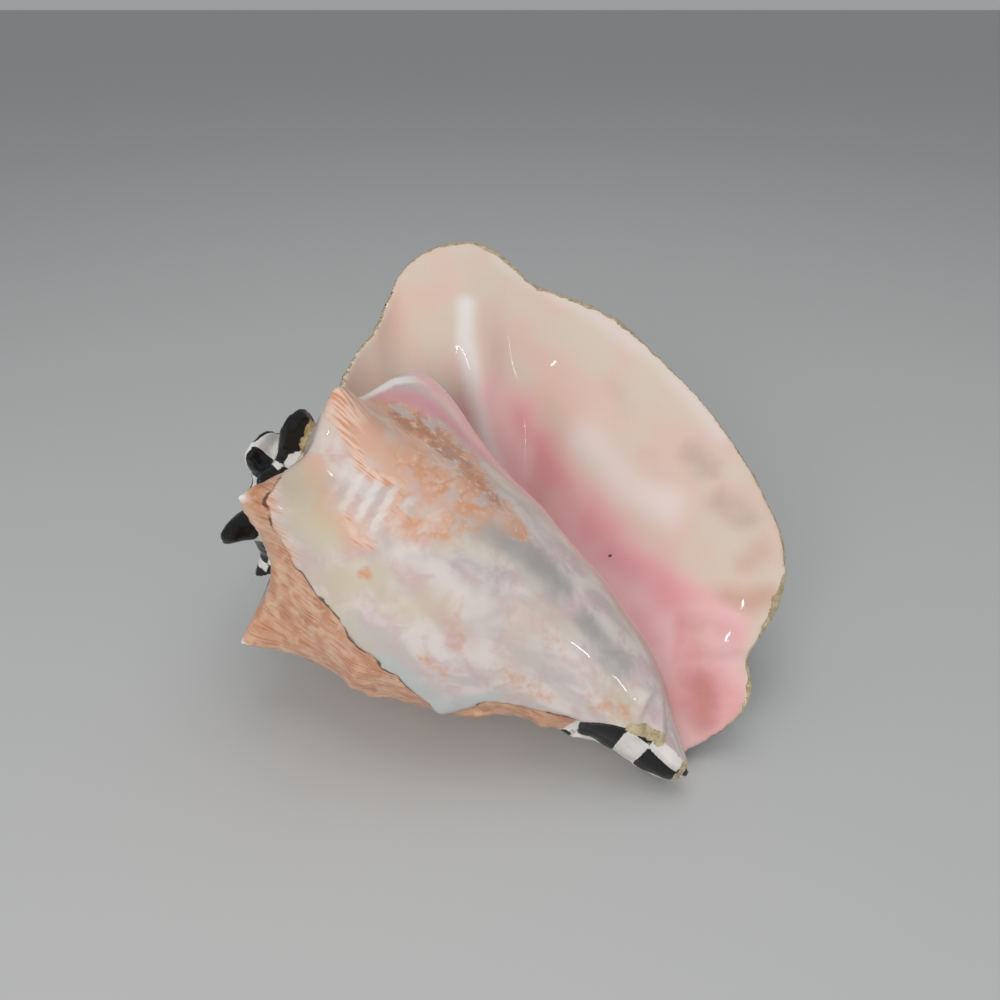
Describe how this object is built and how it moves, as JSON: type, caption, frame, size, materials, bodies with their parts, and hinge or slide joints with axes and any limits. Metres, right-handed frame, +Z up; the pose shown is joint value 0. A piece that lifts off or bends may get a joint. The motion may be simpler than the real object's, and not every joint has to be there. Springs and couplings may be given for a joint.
{
  "type": "conch shell",
  "caption": "Large conch shell lying on its back, aperture and wide flared pink lip up, with shoulder knobs, a short spined spire and a siphonal canal.",
  "frame": {"origin": "middle of the box round the shell, on the ground it lies on", "axes": "+Z up; +X along the longest side of the box, from the spire's side toward the canal's side; -Y toward the viewer who faces the open aperture"},
  "size_m": [0.2532, 0.2162, 0.1682],
  "materials": {
    "shell": "gloss clear coat over natural shell"
  },
  "bodies": {
    "root": {"conch_shell": "shell"}
  },
  "joints": []
}
